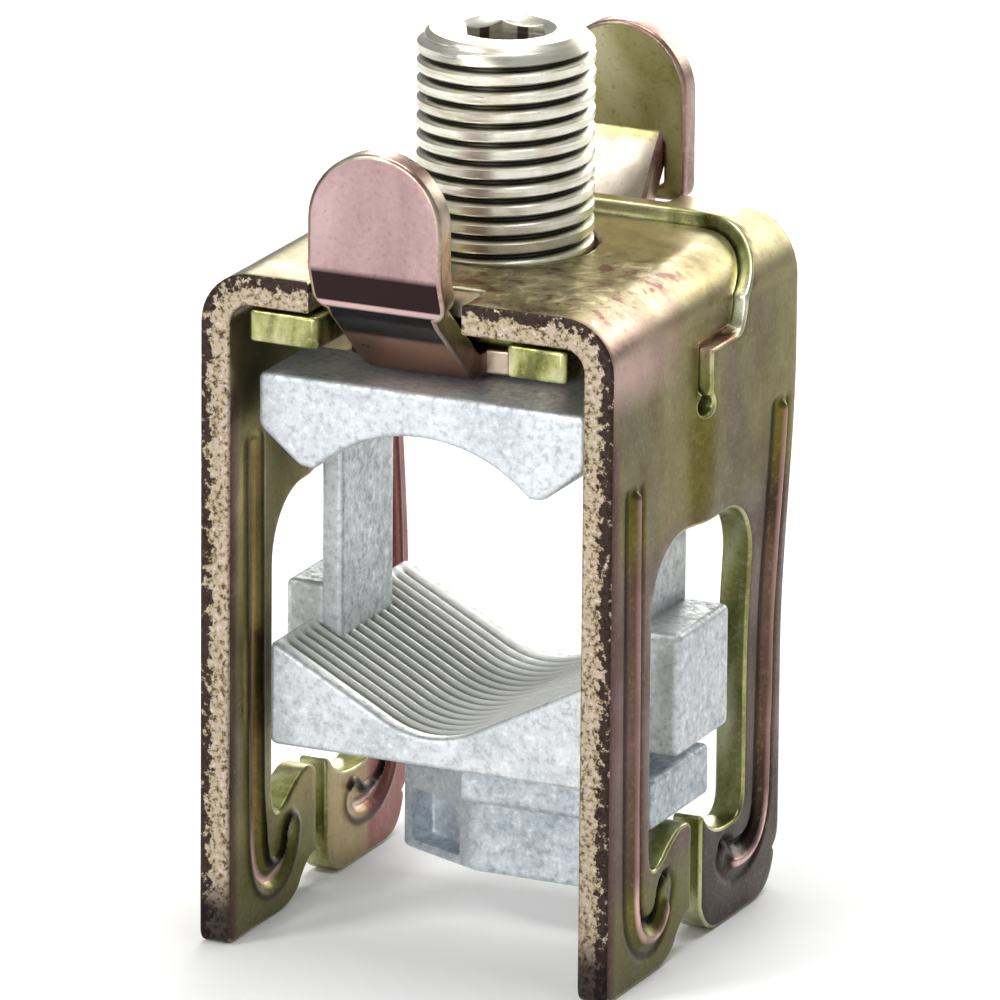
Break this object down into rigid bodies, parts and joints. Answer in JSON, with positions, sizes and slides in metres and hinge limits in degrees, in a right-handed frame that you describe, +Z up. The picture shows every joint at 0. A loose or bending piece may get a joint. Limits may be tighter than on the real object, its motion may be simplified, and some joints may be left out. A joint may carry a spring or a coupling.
{
  "type": "frame clamp for a round conductor",
  "caption": "Bent steel clamp frame with a hex-socket screw that drives a hollowed aluminium jaw down onto a ribbed aluminium saddle, for clamping a round conductor.",
  "frame": {"origin": "on the screw axis, at the height of the prong ends the frame stands on, the middle of the bounding box seen from above", "axes": "+Z up along the screw, Y along the conductor with -Y at the front, X across the two legs"},
  "size_m": [0.0372, 0.04, 0.0724],
  "materials": {
    "chromated_steel": "yellow-chromated zinc on stamped sheet steel, iridescent olive, gold and pink",
    "thread_plate_steel": "yellow-chromated zinc on steel, green-gold",
    "strap_steel": "yellow-chromated zinc on strip steel, pink and green-gold",
    "screw_steel": "bright zinc with a faint yellow tint",
    "spring_steel": "plain spring steel",
    "cast_aluminium": "frosted cast aluminium",
    "saddle_aluminium": "frosted cast aluminium, fine ribs on the saddle",
    "block_aluminium": "frosted cast aluminium"
  },
  "bodies": {
    "frame": {"clamp_frame": "chromated_steel", "thread_plate": "thread_plate_steel", "retaining_strap": "strap_steel"},
    "jaw": {"upper_jaw": "cast_aluminium"},
    "screw": {"clamp_screw": "screw_steel", "screw_retaining_ring": "spring_steel"},
    "base": {"base_block": "block_aluminium"},
    "saddle": {"lower_jaw": "saddle_aluminium"}
  },
  "joints": [
    {"name": "jaw_travel", "type": "slide", "parent": "frame", "child": "jaw", "axis": [0, 0, -1], "range_m": [0, 0.0105]},
    {"name": "screw_turn", "type": "hinge", "parent": "jaw", "child": "screw", "pos_m": [0, 0, 0.0469], "axis": [0, 0, -1], "range_deg": [0, 2520]},
    {"name": "base_lift", "type": "slide", "parent": "frame", "child": "base", "axis": [0, 0, 1], "range_m": [0, 0.002]},
    {"name": "saddle_lift", "type": "slide", "parent": "base", "child": "saddle", "axis": [0, 0, 1], "range_m": [0, 0.0015]}
  ],
  "couplings": [
    {"joint": "screw_turn", "follows": "jaw_travel", "rad_per_m": 4188.8}
  ]
}
